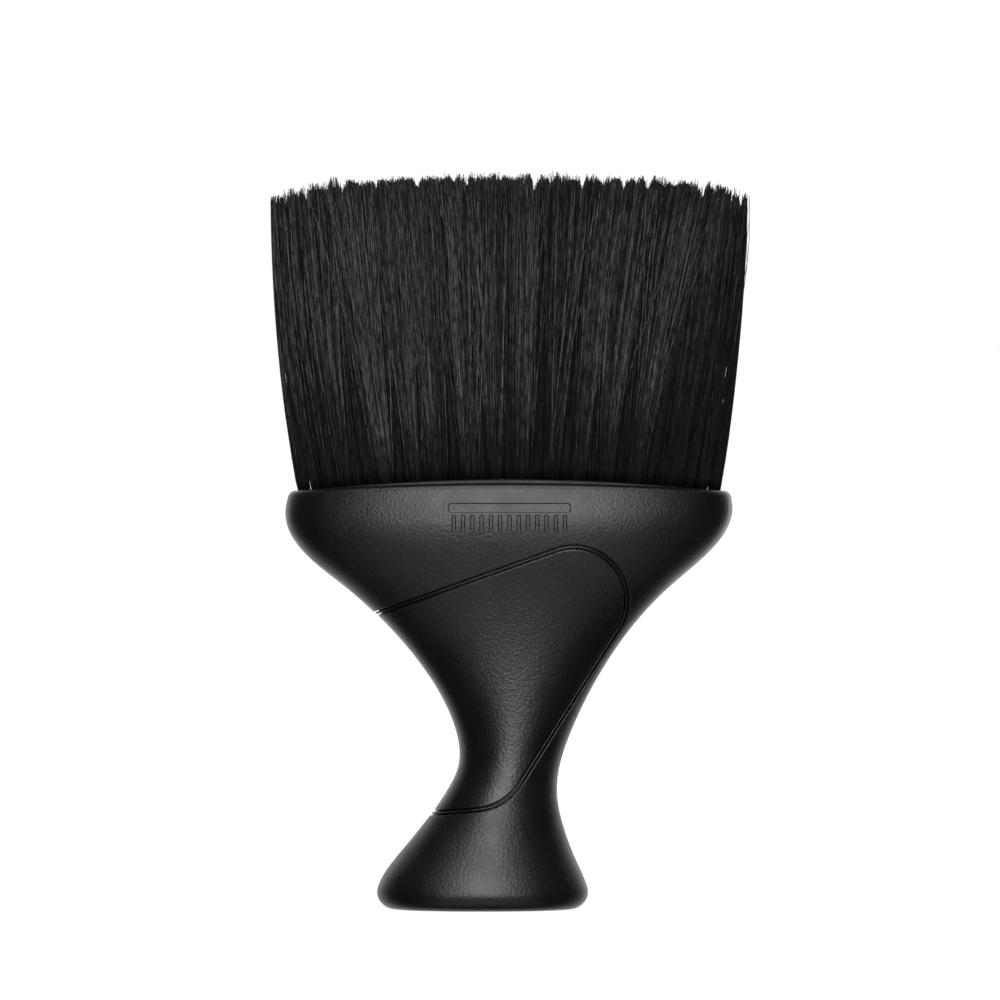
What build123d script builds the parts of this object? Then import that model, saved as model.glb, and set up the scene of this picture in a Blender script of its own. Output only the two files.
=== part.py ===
"""Neck duster brush: a hollow flared handle with a soft grip, and a crowned block set with rows of tufts.

Frame: +Z up, the brush stands on its foot at z = 0 with the bristles upwards. X runs along the wide side
of the head, and the front faces -Y. The origin is under the middle of the bristle field.
"""

import os
from math import cos, pi, radians, sin, tan

from build123d import *

os.makedirs("parts", exist_ok=True)

# ---------------------------------------------------------------- driving dimensions, mm
TOTAL_HEIGHT = 180.0

# The handle's outline: height, centre x, half width, half depth, squareness of the oval (2 is an ellipse)
HANDLE_STATIONS = [
    (0.0, -6.8, 25.9, 19.0, 2.3),
    (5.0, -6.6, 25.9, 19.0, 2.3),
    (12.0, -6.0, 22.4, 16.9, 2.2),
    (20.0, -4.2, 17.6, 14.0, 2.1),
    (28.0, -2.2, 14.0, 12.2, 2.1),
    (35.0, -0.2, 12.6, 11.5, 2.1),
    (44.0, 1.0, 14.4, 11.6, 2.1),
    (55.0, 1.1, 19.6, 12.3, 2.2),
    (67.0, 0.4, 28.0, 13.7, 2.3),
    (79.0, -0.5, 39.7, 16.0, 2.5),
    (87.0, -0.8, 49.1, 18.0, 2.7),
    (94.5, -0.4, 54.4, 19.3, 2.8),
    (99.0, -0.1, 55.0, 19.2, 2.8),
    (108.0, 0.2, 54.8, 18.1, 2.8),
]
FOOT_X = HANDLE_STATIONS[0][1]
FOOT_ROUNDING = 4.0
RIM_ROUNDING = 1.9
RIM_TOP = 104.8  # at the middle of the head
RIM_CROWN_RADIUS = 735.0
CORE_INSET = 4.0  # from the outside to the hollow core, measured level
CORE_BOTTOM = 5.0
SPARE = 5.0  # how far a cutting shape runs past what it cuts

# Grip panel: the corners of the line round it, as x and z seen from the front
FAR = 80.0  # clears the whole handle sideways
GRIP_CORNERS = [(-FAR, 56.0), (46.9, 101.0), (-0.9, 25.6), (-FAR, 16.1)]
GRIP_ROUNDING = 13.0
PANEL_THICKNESS = 1.6
PANEL_SINK = 0.15  # how far the panel lies below the shell around it
PANEL_ROUNDING = 0.3
GROOVE_WIDTH = 1.1
GROOVE_ROUNDING = 0.3
BEAD_WIDTH = 0.5  # the bead runs along the middle of the groove
BEAD_SINK = 0.12
BEAD_ROUNDING = 0.22
BEAD_FOOT = 0.5  # how far the bead reaches into the shell under the panel's seat

# Base cap, in the mouth under the foot
MOUTH_HALF_WIDTH = 19.4
MOUTH_HALF_DEPTH = 12.8
MOUTH_SQUARENESS = 2.2
MOUTH_TOP = 8.0
CAP_GAP = 0.1
CAP_THICKNESS = 2.4
CAP_CHAMFER = 0.3
SKIRT_HEIGHT = 6.0
SKIRT_WALL = 1.6

# Tuft block
BLOCK_HALF_WIDTH = 52.4
BLOCK_HALF_DEPTH = 16.0
BLOCK_SQUARENESS = 3.0
BLOCK_FLOOR = 95.0
BLOCK_TOP = 105.7  # at the middle
BLOCK_CROWN_RADIUS = 450.0
BLOCK_GAP = 0.1
BLOCK_ROUNDING = 0.8
BLOCK_LEDGE = 3.0  # width of the ledge that the block sits on

# Tufts
TUFTS_PER_ROW = [10, 13, 14, 15, 16, 15, 14, 9]  # front to back
TUFT_PITCH = 6.7  # along a row
ROW_PITCH = 3.7
ROOT_RADIUS = 1.6
TIP_RADIUS = 2.5
TIP_ROUNDING = 1.2
HOLE_DEPTH = 7.0
HOLE_GAP = 0.02
END_LEAN = radians(5.6)  # of the last tuft of the longest row, outwards
SIDE_LEAN = radians(2.8)  # of the first and last row, to front and back
TIP_DROP_ENDS = 5.0
TIP_DROP_SIDES = 0.3
TIP_DROP_POWER = 2.9

# Anchor plates
ANCHOR_LENGTH = 3.9
ANCHOR_THICKNESS = 0.4
ANCHOR_HEIGHT = 1.8
ANCHOR_LIFT = 1.0  # above the bottom of the hole

# Comb motif sunk into the front of the head
MOTIF_WIDTH = 30.0
MOTIF_HEIGHT = 7.0
MOTIF_MIDDLE = 96.4
MOTIF_SPINE = 2.4
MOTIF_CORNER = 0.9
MOTIF_GAP = 0.5  # between the spine and the teeth
MOTIF_TEETH = 13
MOTIF_TOOTH = 1.05
MOTIF_TOOTH_CORNER = 0.4
MOTIF_DEPTH = 0.55
MOTIF_ROUNDING = 0.25


# ---------------------------------------------------------------- shared shapes
def oval_points(half_width, half_depth, squareness, count=24):
    """Points around a superellipse."""
    points = []
    for step in range(count):
        turn = 2 * pi * step / count
        c, s = cos(turn), sin(turn)
        x = half_width * abs(c) ** (2 / squareness) * (1 if c >= 0 else -1)
        y = half_depth * abs(s) ** (2 / squareness) * (1 if s >= 0 else -1)
        points.append((x, y))
    return points


def handle_form(stations, inset=0.0):
    """The handle's outer form, drawn in by inset, lofted through its stations."""
    with BuildPart() as form:
        for height, centre_x, half_width, half_depth, squareness in stations:
            with BuildSketch(Plane.XY.offset(height)):
                with BuildLine():
                    outline = oval_points(half_width - inset, half_depth - inset, squareness)
                    Spline(*[(centre_x + x, y) for x, y in outline], periodic=True)
                make_face()
        loft()
    return form.part


def oval_prism(centre_x, half_width, half_depth, squareness, bottom, top):
    """An upright prism on a superellipse."""
    with BuildPart() as prism:
        with BuildSketch(Plane.XY.offset(bottom)):
            with BuildLine():
                outline = oval_points(half_width, half_depth, squareness)
                Spline(*[(centre_x + x, y) for x, y in outline], periodic=True)
            make_face()
        extrude(amount=top - bottom)
    return prism.part


def under_crown(top, radius):
    """Everything below a crowned surface, arched along X with its highest line at x = 0."""
    edge_z = top - radius + (radius**2 - FAR**2) ** 0.5
    with BuildPart() as below:
        with BuildSketch(Plane.XZ):
            with BuildLine():
                ThreePointArc((-FAR, edge_z), (0, top), (FAR, edge_z))
                Polyline((FAR, edge_z), (FAR, -SPARE), (-FAR, -SPARE), (-FAR, edge_z))
            make_face()
        extrude(amount=FAR, both=True)
    return below.part


def crown_height(x, top, radius):
    return top - radius + (radius**2 - x**2) ** 0.5


def grip_outline(grow):
    """The line round the grip seen from the front, moved outwards by grow, as a prism through the handle.

    It runs out past the left flank, so the grip wraps round from front to back there.
    """
    with BuildPart() as prism:
        with BuildSketch(Plane.XZ):
            with BuildLine():
                rounded = FilletPolyline(*GRIP_CORNERS, radius=GRIP_ROUNDING)
                Line(rounded @ 1, rounded @ 0)
            make_face()
            offset(amount=grow, mode=Mode.REPLACE)
        extrude(amount=FAR, both=True)
    return prism.part


def comb_prism():
    """Prisms through the front of the head that draw a plain comb, a spine with separate teeth below it."""
    pitch = (MOTIF_WIDTH - 2 * MOTIF_CORNER - MOTIF_TOOTH) / (MOTIF_TEETH - 1)
    spine_middle = MOTIF_MIDDLE + (MOTIF_HEIGHT - MOTIF_SPINE) / 2
    tooth_length = MOTIF_HEIGHT - MOTIF_SPINE - MOTIF_GAP
    tooth_middle = MOTIF_MIDDLE - (MOTIF_HEIGHT - tooth_length) / 2
    with BuildPart() as prism:
        with BuildSketch(Plane.XZ.offset(SPARE)):
            with Locations((0, spine_middle)):
                RectangleRounded(MOTIF_WIDTH, MOTIF_SPINE, MOTIF_CORNER)
            with Locations((0, tooth_middle)):
                with GridLocations(pitch, 1, MOTIF_TEETH, 1):
                    RectangleRounded(MOTIF_TOOTH, tooth_length, MOTIF_TOOTH_CORNER)
        extrude(amount=FAR)
    return prism.part


def skin_of(part):
    """The handle's outer face in a part: the tallest of its widest curved faces."""
    curved = part.faces().filter_by(GeomType.BSPLINE)
    return curved.sort_by(lambda face: face.bounding_box().size.length)[-1]


def groove_edges(part):
    """The edges where the grip's groove cuts the outer face, without that face's top, bottom and seam."""
    between = skin_of(part).edges().filter_by(lambda edge: SPARE < edge.center().Z < RIM_TOP)
    return between.filter_by(lambda edge: edge.center().X < 0 or abs(edge.center().Y) > SPARE)


def floors_of(cuts):
    """The innermost face of each cut in a set made from the front."""
    return ShapeList([cut.faces().sort_by(Axis.Y)[-1] for cut in cuts.solids()])


# ---------------------------------------------------------------- where the tufts stand
class Tuft:
    """One tuft: where its axis leaves the block, its direction, and its length above the block."""

    def __init__(self, row, index):
        rows, count = len(TUFTS_PER_ROW), TUFTS_PER_ROW[row]
        longest = (max(TUFTS_PER_ROW) - 1) / 2 * TUFT_PITCH
        outermost = (rows - 1) / 2 * ROW_PITCH
        x = (index - (count - 1) / 2) * TUFT_PITCH
        y = (row - (rows - 1) / 2) * ROW_PITCH
        z = crown_height(x, BLOCK_TOP, BLOCK_CROWN_RADIUS)
        rise = Vector(tan(END_LEAN * x / longest), tan(SIDE_LEAN * y / outermost), 1)
        drop = TIP_DROP_ENDS * abs(x / longest) ** TIP_DROP_POWER + TIP_DROP_SIDES * (y / outermost) ** 2
        self.root = Vector(x, y, z)
        self.axis = rise.normalized()
        self.length = (TOTAL_HEIGHT - drop - z) * rise.length

    def frame(self, along=0.0):
        """Plane square to the tuft, at a distance along it from where it leaves the block."""
        return Plane(origin=self.root + self.axis * along, x_dir=(1, 0, 0), z_dir=self.axis)

    def upright(self):
        """Plane that holds the tuft's axis as its local Y."""
        across = Vector(0, 1, 0).cross(self.axis).normalized()
        return Plane(origin=self.root, x_dir=across, z_dir=across.cross(self.axis))


def tufts_of(row):
    return [Tuft(row, index) for index in range(TUFTS_PER_ROW[row])]


ALL_TUFTS = [tuft for row in range(len(TUFTS_PER_ROW)) for tuft in tufts_of(row)]
ANCHOR_FROM_SURFACE = -HOLE_DEPTH + ANCHOR_LIFT + ANCHOR_HEIGHT / 2


# ---------------------------------------------------------------- handle shell
PANEL_SEAT = handle_form(HANDLE_STATIONS, PANEL_THICKNESS)

with BuildPart() as recess:
    add(grip_outline(GROOVE_WIDTH / 2))
    add(PANEL_SEAT, mode=Mode.SUBTRACT)

with BuildPart() as bead:
    add(handle_form(HANDLE_STATIONS, BEAD_SINK))
    add(grip_outline(BEAD_WIDTH / 2), mode=Mode.INTERSECT)
    add(grip_outline(-BEAD_WIDTH / 2), mode=Mode.SUBTRACT)
    add(handle_form(HANDLE_STATIONS, PANEL_THICKNESS + BEAD_FOOT), mode=Mode.SUBTRACT)
    fillet(skin_of(bead.part).edges(), BEAD_ROUNDING)

with BuildPart() as engraving:
    add(comb_prism())
    add(handle_form(HANDLE_STATIONS, MOTIF_DEPTH), mode=Mode.SUBTRACT)
    fillet(floors_of(engraving.part).edges(), MOTIF_ROUNDING)

CORE = handle_form([s for s in HANDLE_STATIONS if CORE_BOTTOM <= s[0] < BLOCK_FLOOR], CORE_INSET)
MOUTH = oval_prism(FOOT_X, MOUTH_HALF_WIDTH, MOUTH_HALF_DEPTH, MOUTH_SQUARENESS, -SPARE, MOUTH_TOP)
POCKET = oval_prism(0, BLOCK_HALF_WIDTH, BLOCK_HALF_DEPTH, BLOCK_SQUARENESS, BLOCK_FLOOR, TOTAL_HEIGHT)
LEDGE_OPENING = oval_prism(
    0,
    BLOCK_HALF_WIDTH - BLOCK_LEDGE,
    BLOCK_HALF_DEPTH - BLOCK_LEDGE,
    BLOCK_SQUARENESS,
    BLOCK_FLOOR - SPARE,
    BLOCK_FLOOR + SPARE,
)

with BuildPart() as handle_shell:
    add(handle_form(HANDLE_STATIONS))
    add(recess.part, mode=Mode.SUBTRACT)
    fillet(groove_edges(handle_shell.part), GROOVE_ROUNDING)
    add(under_crown(RIM_TOP, RIM_CROWN_RADIUS), mode=Mode.INTERSECT)
    fillet(handle_shell.edges().group_by(Axis.Z)[-1], RIM_ROUNDING)
    fillet(handle_shell.edges().group_by(Axis.Z)[0], FOOT_ROUNDING)
    for hollow in (CORE, MOUTH, POCKET, LEDGE_OPENING, engraving.part):
        add(hollow, mode=Mode.SUBTRACT)
    add(bead.part)
handle_shell.part.label = "handle_shell"
export_step(handle_shell.part, "parts/handle_shell.step")

# ---------------------------------------------------------------- grip panel
with BuildPart() as grip_panel:
    add(handle_form(HANDLE_STATIONS, PANEL_SINK))
    add(grip_outline(-GROOVE_WIDTH / 2), mode=Mode.INTERSECT)
    add(PANEL_SEAT, mode=Mode.SUBTRACT)
    fillet(skin_of(grip_panel.part).edges(), PANEL_ROUNDING)
grip_panel.part.label = "grip_panel"
export_step(grip_panel.part, "parts/grip_panel.step")

# ---------------------------------------------------------------- base cap
with BuildPart() as base_cap:
    cap_width, cap_depth = MOUTH_HALF_WIDTH - CAP_GAP, MOUTH_HALF_DEPTH - CAP_GAP
    add(oval_prism(FOOT_X, cap_width, cap_depth, MOUTH_SQUARENESS, 0, SKIRT_HEIGHT))
    room_width, room_depth = cap_width - SKIRT_WALL, cap_depth - SKIRT_WALL
    room_top = SKIRT_HEIGHT + SPARE
    add(
        oval_prism(FOOT_X, room_width, room_depth, MOUTH_SQUARENESS, CAP_THICKNESS, room_top),
        mode=Mode.SUBTRACT,
    )
    chamfer(base_cap.edges().group_by(Axis.Z)[0], CAP_CHAMFER)
base_cap.part.label = "base_cap"
export_step(base_cap.part, "parts/base_cap.step")

# ---------------------------------------------------------------- tuft block
with BuildPart() as tuft_block:
    block_width, block_depth = BLOCK_HALF_WIDTH - BLOCK_GAP, BLOCK_HALF_DEPTH - BLOCK_GAP
    add(oval_prism(0, block_width, block_depth, BLOCK_SQUARENESS, BLOCK_FLOOR, TOTAL_HEIGHT))
    add(under_crown(BLOCK_TOP, BLOCK_CROWN_RADIUS), mode=Mode.INTERSECT)
    fillet(tuft_block.edges().group_by(Axis.Z)[-1], BLOCK_ROUNDING)
    with Locations(*[tuft.frame(-HOLE_DEPTH) for tuft in ALL_TUFTS]):
        Cylinder(
            ROOT_RADIUS + HOLE_GAP,
            HOLE_DEPTH + SPARE,
            align=(Align.CENTER, Align.CENTER, Align.MIN),
            mode=Mode.SUBTRACT,
        )
    with Locations(*[tuft.frame(ANCHOR_FROM_SURFACE) for tuft in ALL_TUFTS]):
        Box(ANCHOR_LENGTH, ANCHOR_THICKNESS, ANCHOR_HEIGHT, mode=Mode.SUBTRACT)
tuft_block.part.label = "tuft_block"
export_step(tuft_block.part, "parts/tuft_block.step")

# ---------------------------------------------------------------- rows of tufts and their anchors
for row in range(len(TUFTS_PER_ROW)):
    with BuildPart() as bristle_row:
        for tuft in tufts_of(row):
            with BuildSketch(tuft.upright()):
                with BuildLine():
                    Polyline(
                        (0, -HOLE_DEPTH),
                        (ROOT_RADIUS, -HOLE_DEPTH),
                        (ROOT_RADIUS, 0),
                        (TIP_RADIUS, tuft.length - TIP_ROUNDING),
                        (TIP_RADIUS - TIP_ROUNDING, tuft.length),
                        (0, tuft.length),
                        close=True,
                    )
                make_face()
            revolve(axis=Axis(tuft.root, tuft.axis))
        with Locations(*[tuft.frame(ANCHOR_FROM_SURFACE) for tuft in tufts_of(row)]):
            Box(ANCHOR_LENGTH, ANCHOR_THICKNESS, ANCHOR_HEIGHT, mode=Mode.SUBTRACT)
    bristle_row.part.label = f"bristle_row_{row + 1}"
    export_step(bristle_row.part, f"parts/{bristle_row.part.label}.step")

    with BuildPart() as anchor_row:
        with Locations(*[tuft.frame(ANCHOR_FROM_SURFACE) for tuft in tufts_of(row)]):
            Box(ANCHOR_LENGTH, ANCHOR_THICKNESS, ANCHOR_HEIGHT)
    anchor_row.part.label = f"anchor_row_{row + 1}"
    export_step(anchor_row.part, f"parts/{anchor_row.part.label}.step")
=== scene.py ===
from math import cos, radians, sin

import bmesh
import bpy
import numpy as np
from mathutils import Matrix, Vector


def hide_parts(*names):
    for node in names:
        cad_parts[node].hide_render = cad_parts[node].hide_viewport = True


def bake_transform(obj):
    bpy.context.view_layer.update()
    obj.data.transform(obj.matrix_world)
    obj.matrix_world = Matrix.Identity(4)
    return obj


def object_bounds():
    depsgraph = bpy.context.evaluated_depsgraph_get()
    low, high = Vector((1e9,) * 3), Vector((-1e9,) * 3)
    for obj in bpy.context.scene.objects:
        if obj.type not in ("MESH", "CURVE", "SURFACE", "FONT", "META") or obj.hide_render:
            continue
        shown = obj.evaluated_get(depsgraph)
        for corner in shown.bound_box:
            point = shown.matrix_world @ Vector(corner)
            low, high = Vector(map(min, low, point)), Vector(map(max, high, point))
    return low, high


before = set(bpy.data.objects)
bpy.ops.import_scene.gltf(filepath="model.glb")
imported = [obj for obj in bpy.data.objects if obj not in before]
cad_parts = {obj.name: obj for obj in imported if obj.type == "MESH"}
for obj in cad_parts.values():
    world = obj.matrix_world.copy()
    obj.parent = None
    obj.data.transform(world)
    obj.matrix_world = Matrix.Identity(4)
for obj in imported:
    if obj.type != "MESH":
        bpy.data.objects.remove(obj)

CAD_LOW, CAD_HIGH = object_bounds()
HEIGHT = CAD_HIGH.z - CAD_LOW.z

BRISTLE_NODES = sorted(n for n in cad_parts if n.startswith("bristle_row_"))
ANCHOR_NODES = sorted(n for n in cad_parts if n.startswith("anchor_row_"))

# Filaments, in metres and in shares of a filament's height
FILAMENTS_PER_TUFT = 200
FILAMENT_RADIUS = 0.00012
TIP_THINNING = 0.65
RINGS = 15
SIDES = 3
FACES_PER_PIECE = 190_000  # a longer row is made as more than one piece
UV_BANDS = 8  # the filaments' strips in the UV map stand in this many bands
ROOT_DEPTH = 0.0025  # how far the filaments reach down into their hole
HOLE_DEPTH = 0.007
TUFT_ROOT_RADIUS = 0.00148
FULL_ROOTS = 0.78  # tufts rooted within this share of the half width splay as they leave their holes
END_ROOTS = 0.84  # tufts rooted beyond this share keep a firm outer edge
CLUMPS_PER_TUFT = 8
TUFT_SPREAD = (0.0036, 0.0023)  # how far a tuft fans out at its tips, along and across the row
LOOSE_SHARE = 0.22  # of a tuft's filaments, which stray from their clump and splay as they leave the hole
LOOSE_SPREAD = 0.0016
HOLE_SPLAY = 0.5  # how much wider than their place in the hole the loose filaments stand just above it
FIRM_EDGE = 0.0017  # from an end tuft's middle to its outer edge
END_REACH = 0.0022  # how far the filaments reach past the widest tuft's middle, and STRAY_REACH for strays
STRAY_REACH = 0.0018
WAVE_SIZE = 0.00040
STRAY_WAVE_SIZE = 0.0006
STRAYS = 120  # slantwise filaments over the front, and as many over the back
NOTCHES_MADE = 30
TIP_FADE_FROM = 0.84  # the share of its height from which a filament darkens towards its tip
ROOT_FADE_FROM = 0.03  # and the share from which the painted shade at its root lightens


# ---------------------------------------------------------------- tufts, from the frame
def tufts_in(node):
    """Root and tip of each tuft in a CAD row, taken from the row's separate solids, left to right."""
    mesh = bmesh.new()
    mesh.from_mesh(node.data)
    bmesh.ops.remove_doubles(mesh, verts=mesh.verts, dist=1e-6)
    unseen, tufts = set(mesh.verts), []
    while unseen:
        edge_of_search = [unseen.pop()]
        island = list(edge_of_search)
        while edge_of_search:
            vert = edge_of_search.pop()
            for edge in vert.link_edges:
                other = edge.other_vert(vert)
                if other in unseen:
                    unseen.remove(other)
                    edge_of_search.append(other)
                    island.append(other)
        points = np.array([v.co for v in island])
        low = points[points[:, 2] < points[:, 2].min() + 0.001].mean(axis=0)
        high = points[points[:, 2] > points[:, 2].max() - 0.001].mean(axis=0)
        root = low + (high - low) / np.linalg.norm(high - low) * (HOLE_DEPTH - ROOT_DEPTH)
        tufts.append((root, high))
    mesh.free()
    return sorted(tufts, key=lambda tuft: tuft[0][0])


TUFTS = {name: tufts_in(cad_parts[name]) for name in BRISTLE_NODES}
ALL_TUFTS = [tuft for tufts in TUFTS.values() for tuft in tufts]
WIDEST = max(abs(tip[0]) for root, tip in ALL_TUFTS)
DEEPEST = max(abs(root[1]) for root, tip in ALL_TUFTS)


# ---------------------------------------------------------------- how the hair falls
def hump(x, centre, width):
    return np.exp(-(((x - centre) / width) ** 2))


def sweep(root):
    """Sideways lean of the hair beyond its tuft's own, most of it right of the middle and at the front."""
    front = 0.5 - 0.5 * root[1] / DEEPEST
    to_right = 0.0085 * hump(root[0], 0.52 * WIDEST, 0.30 * WIDEST)
    to_left = 0.0040 * hump(root[0], -0.55 * WIDEST, 0.34 * WIDEST)
    return (to_right - to_left) * (0.35 + 0.65 * front)


def notches():
    """Short gaps in the trimmed edge: the place, half width and depth of each."""
    rng = np.random.default_rng(7)
    place = np.cumsum(rng.uniform(0.0035, 0.0095, NOTCHES_MADE)) - WIDEST
    half_width = rng.uniform(0.0005, 0.0012, NOTCHES_MADE)
    return place, half_width, rng.uniform(0.0004, 0.0030, NOTCHES_MADE)


NOTCHES = notches()


def trimmed(x):
    """How much lower than the tuft's own height the hair ends at x."""
    place, width, depth = NOTCHES
    return (depth * np.clip(1 - np.abs(x[:, None] - place) / width, 0, 1)).max(axis=1)


def lean_profile(share, side):
    """How much of its sideways lean a tuft has at a share of its height: most of it comes early."""
    early = 1 - (1 - share) ** 2
    straight = 0.35 if side > 0 else 0.05
    return straight * share + (1 - straight) * early


def waves(count, rng, size):
    """Small sideways waves along each filament, from nothing at its root."""
    share = np.linspace(0, 1, RINGS)[None, :, None]
    total = np.zeros((count, RINGS, 2))
    for slowest, fastest, part in ((0.7, 1.8, 1.0), (2.2, 4.0, 0.45), (4.0, 6.0, 0.22)):
        phase = rng.uniform(0, 2 * np.pi, (count, 1, 2))
        turns = rng.uniform(slowest, fastest, (count, 1, 2))
        height = rng.uniform(0.2, 1.0, (count, 1, 2)) * size * part
        total += height * (np.sin(share * turns * 2 * np.pi + phase) - np.sin(phase))
    return total * share**0.7


def filament_paths(root, tip, count, rng):
    """Centre lines of one tuft's filaments, as (filament, ring, xyz), with the tone at each ring, painted
    shade included.
    """
    share = np.linspace(0, 1, RINGS)
    turn = rng.uniform(0, 2 * np.pi, count)
    reach = np.sqrt(rng.uniform(0, 1, count))
    start = np.stack([reach * np.cos(turn), reach * np.sin(turn)], axis=1)

    seat = rng.uniform(0, 2 * np.pi, CLUMPS_PER_TUFT)
    out = np.sqrt(rng.uniform(0, 1, CLUMPS_PER_TUFT))
    centre = np.stack([out * np.cos(seat), out * np.sin(seat)], axis=1)
    distance = ((start[:, None] - centre[None]) ** 2).sum(axis=2)
    clump = np.argmin(distance + rng.normal(0, 0.12, distance.shape), axis=1)

    goal = centre * TUFT_SPREAD + rng.normal(0, 0.0006, centre.shape)
    goal[:, 0] += sweep(root) * rng.uniform(0.45, 1.35, CLUMPS_PER_TUFT)
    goal[:, 0] += rng.normal(0, 0.0007, CLUMPS_PER_TUFT)
    end = goal[clump] + (start - centre[clump]) * 0.0011 + rng.normal(0, 0.00045, start.shape)
    loose = rng.uniform(0, 1, count) < LOOSE_SHARE
    end += rng.normal(0, LOOSE_SPREAD, start.shape) * loose[:, None]

    fan = (1 - (1 - share) ** 1.4)[None, :, None]
    late = (share**1.5)[None, :]
    crowded = abs(root[0]) < FULL_ROOTS * WIDEST
    splay = 1 + HOLE_SPLAY * crowded * loose[:, None, None] * (share > 0)[None, :, None]
    offset = TUFT_ROOT_RADIUS * start[:, None] * splay * (1 - fan) + end[:, None] * fan
    offset[:, :, 0] += sweep(root) * (late - fan[:, :, 0])
    offset += waves(count, rng, WAVE_SIZE)

    lean = tip - root
    profile = lean_profile(share, root[0])[None]
    middle = root[0] + lean[0] * profile
    x = middle + offset[:, :, 0]
    outer = FIRM_EDGE - np.abs(rng.normal(0, 0.0003, (count, 1)))
    if root[0] > END_ROOTS * WIDEST:
        x = np.minimum(x, middle + outer)
    if root[0] < -END_ROOTS * WIDEST:
        x = np.maximum(x, middle - outer)
    limit = WIDEST + END_REACH - np.abs(rng.normal(0, 0.0008, (count, 1)))
    x = np.clip(x, -limit, limit)
    y = root[1] + lean[1] * profile + offset[:, :, 1]
    shortfall = np.abs(rng.normal(0.0010, 0.0008, count)) - rng.normal(0, 0.0007, CLUMPS_PER_TUFT)[clump]
    height = lean[2] - shortfall - trimmed(x[:, -1])
    z = root[2] + height[:, None] * share[None]
    tone = rng.uniform(0, 1, count) ** 3.0 + 0.25 * rng.uniform(0, 1, CLUMPS_PER_TUFT)[clump] ** 2
    # each filament's own tone, times the painted shade from shade()
    return np.stack([x, y, z], axis=2), tone[:, None] * shade(root)[None]


def shade(root):
    """A filament's painted shade at each ring: its colour is dark at its root, for longer in the inner
    rows, and darker towards its tip.

    The left is painted lighter than the right, and clears of the painted shade at the root sooner.
    """
    share = np.linspace(0, 1, RINGS)
    inner = 1 - abs(root[1]) / DEEPEST
    left = 0.5 - 0.5 * root[0] / WIDEST
    clear = 0.14 + 0.50 * min(2.5 * inner, 1) + 0.40 * (1 - left)
    rise = np.clip((share - ROOT_FADE_FROM) / (clear - ROOT_FADE_FROM), 0, 1)
    tip_fade = 1 - 0.60 * np.clip((share - TIP_FADE_FROM) / (1 - TIP_FADE_FROM), 0, 1)
    return (0.80 + 0.90 * left**2) * (0.05 + 0.95 * rise**1.4) * tip_fade


def stray_paths(tufts, rng):
    """Loose filaments that lie slantwise over the outer row, some of them bowed out past the ends."""
    share = np.linspace(0, 1, RINGS)[None]
    picks = rng.integers(0, len(tufts), STRAYS)
    root = np.array([tufts[pick][0] for pick in picks])
    tip = np.array([tufts[pick][1] for pick in picks])
    outward = np.sign(root[:, 1])
    side = np.array([np.sign(sweep(place)) for place in root])
    slant = side * np.abs(rng.normal(0.004, 0.0055, STRAYS)) + rng.normal(0, 0.0015, STRAYS)
    x = root[:, 0, None] + (tip - root)[:, 0, None] * share + slant[:, None] * share**1.4
    x += waves(STRAYS, rng, STRAY_WAVE_SIZE)[:, :, 0]
    x = np.clip(x, -WIDEST - STRAY_REACH, WIDEST + STRAY_REACH)
    proud = rng.uniform(0.0012, 0.0030, STRAYS)
    y = root[:, 1, None] + (tip - root)[:, 1, None] * share + (outward * proud)[:, None] * share**0.6
    length = (tip - root)[:, 2] * rng.uniform(0.86, 1.0, STRAYS)
    z = root[:, 2, None] + length[:, None] * share
    tone = rng.uniform(0.5, 1.3, STRAYS)
    # the strays' colour is painted darker towards their roots, as painted shade
    return np.stack([x, y, z], axis=2), tone[:, None] * np.clip(share * 2 - 0.1, 0, 1)


def strip_map(mesh, count):
    """Gives each filament a strip of its own in the UV map, root to tip."""
    columns = -(-count // UV_BANDS)
    column, band = np.arange(count) % columns, np.arange(count) // columns
    around = np.array([0, 1, 1, 0]) / SIDES
    along = np.array([0, 0, 1, 1])
    ring, side = np.meshgrid(np.arange(RINGS - 1), np.arange(SIDES), indexing="ij")
    u = side[:, :, None] / SIDES + around
    v = (ring[:, :, None] + along) / (RINGS - 1)
    u = (column[:, None, None, None] + 0.1 + 0.8 * u[None]) / columns
    v = (band[:, None, None, None] + 0.02 + 0.96 * v[None]) / UV_BANDS
    tubes = np.stack([u, v], axis=-1).reshape(-1, 2)
    corner = np.arange(SIDES) / SIDES
    ends = []
    for edge in (0.02, 0.98):
        end_u = (column[:, None] + 0.1 + 0.8 * corner[None]) / columns
        end_v = np.broadcast_to((band[:, None] + edge) / UV_BANDS, end_u.shape)
        ends.append(np.stack([end_u, end_v], axis=-1).reshape(-1, 2))
    layer = mesh.uv_layers.new(name="OFBake")
    layer.uv.foreach_set("vector", np.concatenate([tubes, *ends]).reshape(-1))


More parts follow.
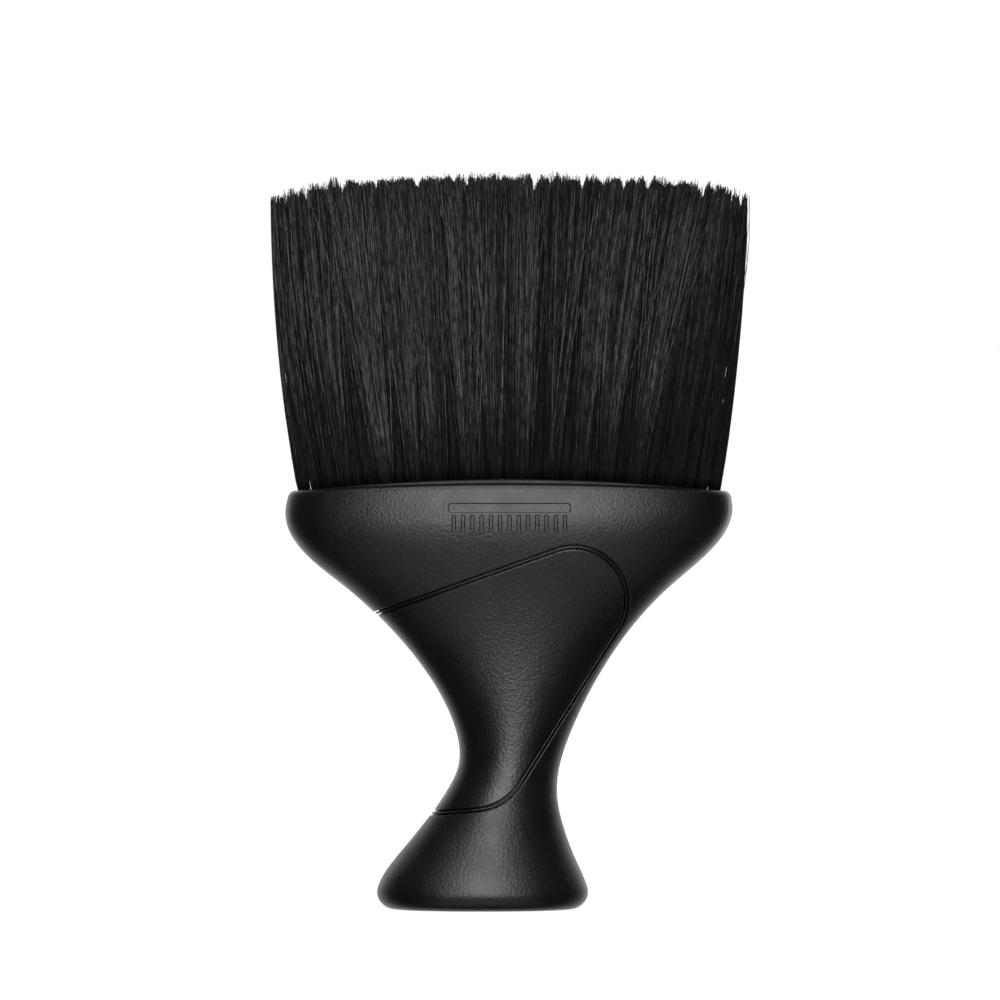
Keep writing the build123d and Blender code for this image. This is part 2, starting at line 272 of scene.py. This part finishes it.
def tube_mesh(name, paths, tones_with_painted_shade):
    """One mesh of thin closed tubes along paths, with a tone at each ring, which for the filaments carries
    their painted shade.
    """
    count = len(paths)
    along = np.gradient(paths, axis=1)
    along /= np.linalg.norm(along, axis=2, keepdims=True)
    first = np.cross(along, np.array([0.0, 1.0, 0.0]))
    first /= np.linalg.norm(first, axis=2, keepdims=True)
    second = np.cross(along, first)
    radius = FILAMENT_RADIUS * np.linspace(1, TIP_THINNING, RINGS)
    angles = 2 * np.pi * np.arange(SIDES) / SIDES
    ring = (
        first[:, :, None] * np.cos(angles)[None, None, :, None]
        + second[:, :, None] * np.sin(angles)[None, None, :, None]
    )
    verts = paths[:, :, None] + ring * radius[None, :, None, None]

    index = np.arange(count * RINGS * SIDES).reshape(count, RINGS, SIDES)
    lower, upper = index[:, :-1], index[:, 1:]
    quads = np.stack([lower, np.roll(lower, -1, axis=2), np.roll(upper, -1, axis=2), upper], axis=-1)
    quads = quads.reshape(-1, 4)
    caps = np.concatenate([index[:, 0, ::-1], index[:, -1]])

    mesh = bpy.data.meshes.new(name)
    mesh.vertices.add(verts.size // 3)
    mesh.vertices.foreach_set("co", verts.reshape(-1))
    loops = np.concatenate([quads.reshape(-1), caps.reshape(-1)])
    mesh.loops.add(len(loops))
    mesh.loops.foreach_set("vertex_index", loops)
    sizes = np.concatenate([np.full(len(quads), 4), np.full(len(caps), SIDES)])
    mesh.polygons.add(len(sizes))
    mesh.polygons.foreach_set("loop_start", np.concatenate([[0], np.cumsum(sizes)[:-1]]))
    mesh.polygons.foreach_set("loop_total", sizes)
    strip_map(mesh, count)
    tone = np.repeat(tones_with_painted_shade.reshape(-1), SIDES).astype(np.float32)
    # the tone attribute is each filament's own tone with painted shade: darker at the root, in the inner
    # rows and towards the tip, lighter on the left
    mesh.attributes.new("tone", "FLOAT", "POINT").data.foreach_set("value", tone)
    mesh.update(calc_edges=True)
    mesh.shade_smooth()
    return mesh


def bristle_row(node_name, seed):
    """Replaces a CAD row of solid tufts with its filaments, in as many pieces as their faces need."""
    rng = np.random.default_rng(seed)
    tufts = TUFTS[node_name]
    made = [filament_paths(root, tip, FILAMENTS_PER_TUFT, rng) for root, tip in tufts]
    if node_name in (BRISTLE_NODES[0], BRISTLE_NODES[-1]):
        made.append(stray_paths(tufts, rng))
    paths = np.concatenate([path for path, tone in made])
    tones_with_painted_shade = np.concatenate([tone for path, tone in made])

    faces_each = 2 * SIDES * (RINGS - 1) + 2
    pieces = -(-len(paths) * faces_each // FACES_PER_PIECE)
    for number, chosen in enumerate(np.array_split(np.arange(len(paths)), pieces), start=1):
        name = node_name.replace("bristle_row", "bristle_filaments") + f"_part_{number}"
        piece = bpy.data.objects.new(name, tube_mesh(name, paths[chosen], tones_with_painted_shade[chosen]))
        bpy.context.scene.collection.objects.link(piece)
        piece.data.materials.append(materials["nylon"])
        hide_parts(node_name)
        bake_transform(piece)


# ---------------------------------------------------------------- materials
def new_material(name):
    material = bpy.data.materials.new(name)
    material.use_nodes = True
    nodes, links = material.node_tree.nodes, material.node_tree.links
    return material, nodes, links, nodes["Principled BSDF"]


def noise(nodes, links, scale, detail=2.0, stretch=None):
    """A noise in the object's own metres, stretched along an axis if asked."""
    place = nodes.new("ShaderNodeTexCoord")
    field = nodes.new("ShaderNodeTexNoise")
    field.inputs["Scale"].default_value = scale
    field.inputs["Detail"].default_value = detail
    if stretch:
        squeeze = nodes.new("ShaderNodeMapping")
        squeeze.inputs["Scale"].default_value = stretch
        links.new(place.outputs["Object"], squeeze.inputs["Vector"])
        links.new(squeeze.outputs["Vector"], field.inputs["Vector"])
    else:
        links.new(place.outputs["Object"], field.inputs["Vector"])
    return field.outputs["Fac"]


def mapped(nodes, links, value, from_low, from_high, to_low, to_high):
    spread = nodes.new("ShaderNodeMapRange")
    spread.inputs["From Min"].default_value = from_low
    spread.inputs["From Max"].default_value = from_high
    spread.inputs["To Min"].default_value = to_low
    spread.inputs["To Max"].default_value = to_high
    links.new(value, spread.inputs["Value"])
    return spread.outputs["Result"]


def blended(nodes, links, share, first, second):
    mix = nodes.new("ShaderNodeMix")
    mix.data_type = "RGBA"
    mix.inputs["A"].default_value = (*first, 1)
    mix.inputs["B"].default_value = (*second, 1)
    links.new(share, mix.inputs["Factor"])
    return mix.outputs["Result"]


def bump(nodes, links, height, strength, distance, below=None):
    node = nodes.new("ShaderNodeBump")
    node.inputs["Strength"].default_value = strength
    node.inputs["Distance"].default_value = distance
    links.new(height, node.inputs["Height"])
    if below:
        links.new(below, node.inputs["Normal"])
    return node.outputs["Normal"]


def grained_plastic(name, dark, light, rough_low, rough_high, grain_size, grain_depth):
    """Black moulded plastic: a fine spark-eroded grain, faint clouding and handling marks in the gloss."""
    material, nodes, links, shader = new_material(name)
    cloud = mapped(nodes, links, noise(nodes, links, 60, 4), 0.35, 0.65, 0, 1)
    links.new(blended(nodes, links, cloud, dark, light), shader.inputs["Base Color"])
    marks = noise(nodes, links, 180, 5)
    links.new(mapped(nodes, links, marks, 0.3, 0.7, rough_low, rough_high), shader.inputs["Roughness"])
    coarse = bump(nodes, links, noise(nodes, links, 1 / grain_size, 3), 0.9, grain_depth)
    fine = bump(nodes, links, noise(nodes, links, 2.6 / grain_size, 2), 0.5, 0.4 * grain_depth, coarse)
    links.new(fine, shader.inputs["Normal"])
    shader.inputs["IOR"].default_value = 1.49
    return material


def stored(nodes, label):
    """A value that the mesh holds at its points."""
    node = nodes.new("ShaderNodeAttribute")
    node.attribute_name = label
    return node.outputs["Fac"]


def multiplied(nodes, links, first, second):
    node = nodes.new("ShaderNodeMath")
    node.operation = "MULTIPLY"
    links.new(first, node.inputs[0])
    links.new(second, node.inputs[1])
    return node.outputs["Value"]


def nylon():
    """Black nylon filaments, each with its own tone and the painted shade stored with it, dusty here and
    there along their length.
    """
    material, nodes, links, shader = new_material("black_nylon")
    patches = noise(nodes, links, 1300, 3, stretch=(1, 1, 0.28))
    patches = mapped(nodes, links, patches, 0.38, 0.64, 0.20, 1.60)
    # the stored tone carries painted shade: darker at roots, in the inner rows and towards tips, lighter on
    # the left
    level = multiplied(nodes, links, stored(nodes, "tone"), patches)
    colour = blended(nodes, links, level, (0.0012, 0.0011, 0.0011), (0.125, 0.122, 0.120))
    links.new(colour, shader.inputs["Base Color"])
    gloss = noise(nodes, links, 1500, 2, stretch=(1, 1, 0.05))
    links.new(mapped(nodes, links, gloss, 0.3, 0.7, 0.42, 0.62), shader.inputs["Roughness"])
    shader.inputs["IOR"].default_value = 1.45
    shader.inputs["Specular IOR Level"].default_value = 0.25
    return material


def metal():
    """Drawn wire for the anchors, scored along its length."""
    material, nodes, links, shader = new_material("anchor_wire")
    drawn = noise(nodes, links, 4000, 2, stretch=(0.05, 1, 1))
    shade = blended(nodes, links, drawn, (0.42, 0.41, 0.40), (0.62, 0.61, 0.60))
    links.new(shade, shader.inputs["Base Color"])
    links.new(mapped(nodes, links, drawn, 0.3, 0.7, 0.25, 0.45), shader.inputs["Roughness"])
    shader.inputs["Metallic"].default_value = 1.0
    return material


def floor_material():
    """Plain paper. A little light of its own lifts it to white where the camera sees it."""
    material, nodes, links, shader = new_material("pale_floor")
    shader.inputs["Base Color"].default_value = (0.5, 0.5, 0.5, 1)
    shader.inputs["Roughness"].default_value = 0.9
    shader.inputs["Emission Color"].default_value = (1, 1, 1, 1)
    path = nodes.new("ShaderNodeLightPath")
    lift = mapped(nodes, links, path.outputs["Is Camera Ray"], 0, 1, 0, 0.9)
    links.new(lift, shader.inputs["Emission Strength"])
    return material


materials = {
    "shell": grained_plastic(
        "shell_plastic", (0.0036, 0.0027, 0.0021), (0.0052, 0.0040, 0.0032), 0.32, 0.40, 0.0007, 0.00010
    ),
    "grip": grained_plastic(
        "grip_soft_touch", (0.0038, 0.0028, 0.0023), (0.0055, 0.0043, 0.0036), 0.26, 0.34, 0.0007, 0.00010
    ),
    # the tuft block's colour is darker than the shell's: painted shade for the dark band between the rim
    # and the tufts
    "block": grained_plastic(
        "block_plastic", (0.0020, 0.0019, 0.0018), (0.0040, 0.0038, 0.0036), 0.5, 0.62, 0.0008, 0.00003
    ),
    "nylon": nylon(),
    "anchor": metal(),
    "floor": floor_material(),
}

# ---------------------------------------------------------------- the CAD nodes' materials
CAD_MATERIALS = {"handle_shell": "shell", "grip_panel": "grip", "base_cap": "shell", "tuft_block": "block"}
CAD_MATERIALS.update({node: "anchor" for node in ANCHOR_NODES})
for node, kind in CAD_MATERIALS.items():
    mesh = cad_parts[node].data
    mesh.materials.clear()
    mesh.materials.append(materials[kind])

for seed, node in enumerate(BRISTLE_NODES):
    bristle_row(node, 100 + seed)


# ---------------------------------------------------------------- camera
SPAN = 1.37 * HEIGHT  # what the square picture takes in at the brush
LENS = 250.0
SENSOR = 36.0
AIM = Vector((-0.0023, 0, 0.559 * HEIGHT))

camera_data = bpy.data.cameras.new("camera")
camera_data.lens = LENS
camera_data.sensor_width = SENSOR
camera = bpy.data.objects.new("camera", camera_data)
camera.location = AIM + Vector((0, -SPAN * LENS / SENSOR, 0))
camera.rotation_euler = (radians(90), 0, 0)
bpy.context.scene.collection.objects.link(camera)
bpy.context.scene.camera = camera


# ---------------------------------------------------------------- floor and light
FLOOR_HALF_SIZE = 4.0
FLOOR_HEIGHT = -0.0001  # a hair under the foot, so that the two don't share a plane
LIGHT_DISTANCE = 0.9


def floor():
    """A wide sheet just under the brush, left out of the gloss, which shows the dim studio round it."""
    mesh = bpy.data.meshes.new("floor")
    signs = [(-1, -1), (1, -1), (1, 1), (-1, 1)]
    corners = [(x * FLOOR_HALF_SIZE, y * FLOOR_HALF_SIZE, FLOOR_HEIGHT) for x, y in signs]
    mesh.from_pydata(corners, [], [(0, 1, 2, 3)])
    mesh.materials.append(materials["floor"])
    plane = bpy.data.objects.new("floor", mesh)
    plane.visible_glossy = False
    plane.visible_shadow = False
    bpy.context.scene.collection.objects.link(plane)


def soft_box(name, elevation, size, radiance):
    """A rectangular light that faces the brush from the front, at an elevation in degrees.

    Blender spreads a light's energy so that a white reflection of it is energy / (4 * area) bright.
    """
    up = radians(elevation)
    place = AIM + LIGHT_DISTANCE * Vector((0, -cos(up), sin(up)))
    data = bpy.data.lights.new(name, "AREA")
    data.shape = "RECTANGLE"
    data.size, data.size_y = size
    data.energy = 4 * radiance * size[0] * size[1]
    light = bpy.data.objects.new(name, data)
    light.location = place
    light.rotation_euler = (place - AIM).to_track_quat("Z", "Y").to_euler()
    light.visible_camera = False
    bpy.context.scene.collection.objects.link(light)


def surroundings():
    """A dim room, with a white wall behind the brush and a pale one ahead. The camera sees plain white."""
    world = bpy.data.worlds.new("studio")
    world.use_nodes = True
    nodes, links = world.node_tree.nodes, world.node_tree.links
    place = nodes.new("ShaderNodeTexCoord")
    parts = nodes.new("ShaderNodeSeparateXYZ")
    links.new(place.outputs["Generated"], parts.inputs["Vector"])
    behind = mapped(nodes, links, parts.outputs["Y"], 0.30, 0.85, 0, 1.0)
    sideways = nodes.new("ShaderNodeMath")
    sideways.operation = "ABSOLUTE"
    links.new(parts.outputs["X"], sideways.inputs[0])
    middle = mapped(nodes, links, sideways.outputs["Value"], 0.15, 0.60, 0.60, 0)
    front = mapped(nodes, links, parts.outputs["Y"], -0.35, 0, 1, 0)
    ahead = multiplied(nodes, links, middle, front)
    level = nodes.new("ShaderNodeMath")
    level.operation = "ADD"
    links.new(behind, level.inputs[0])
    links.new(ahead, level.inputs[1])
    room = mapped(nodes, links, level.outputs["Value"], 0, 1, 0.03, 1.03)
    path = nodes.new("ShaderNodeLightPath")
    seen = nodes.new("ShaderNodeMix")
    links.new(path.outputs["Is Camera Ray"], seen.inputs["Factor"])
    links.new(room, seen.inputs["A"])
    seen.inputs["B"].default_value = 1.0
    background = nodes["Background"]
    background.inputs["Color"].default_value = (1, 1, 1, 1)
    links.new(seen.outputs["Result"], background.inputs["Strength"])
    bpy.context.scene.world = world


floor()
surroundings()
soft_box("key", 16, (0.40, 0.88), 4.4)
soft_box("upper", 64, (0.50, 0.36), 3.2)
bpy.context.scene.view_settings.view_transform = "Standard"
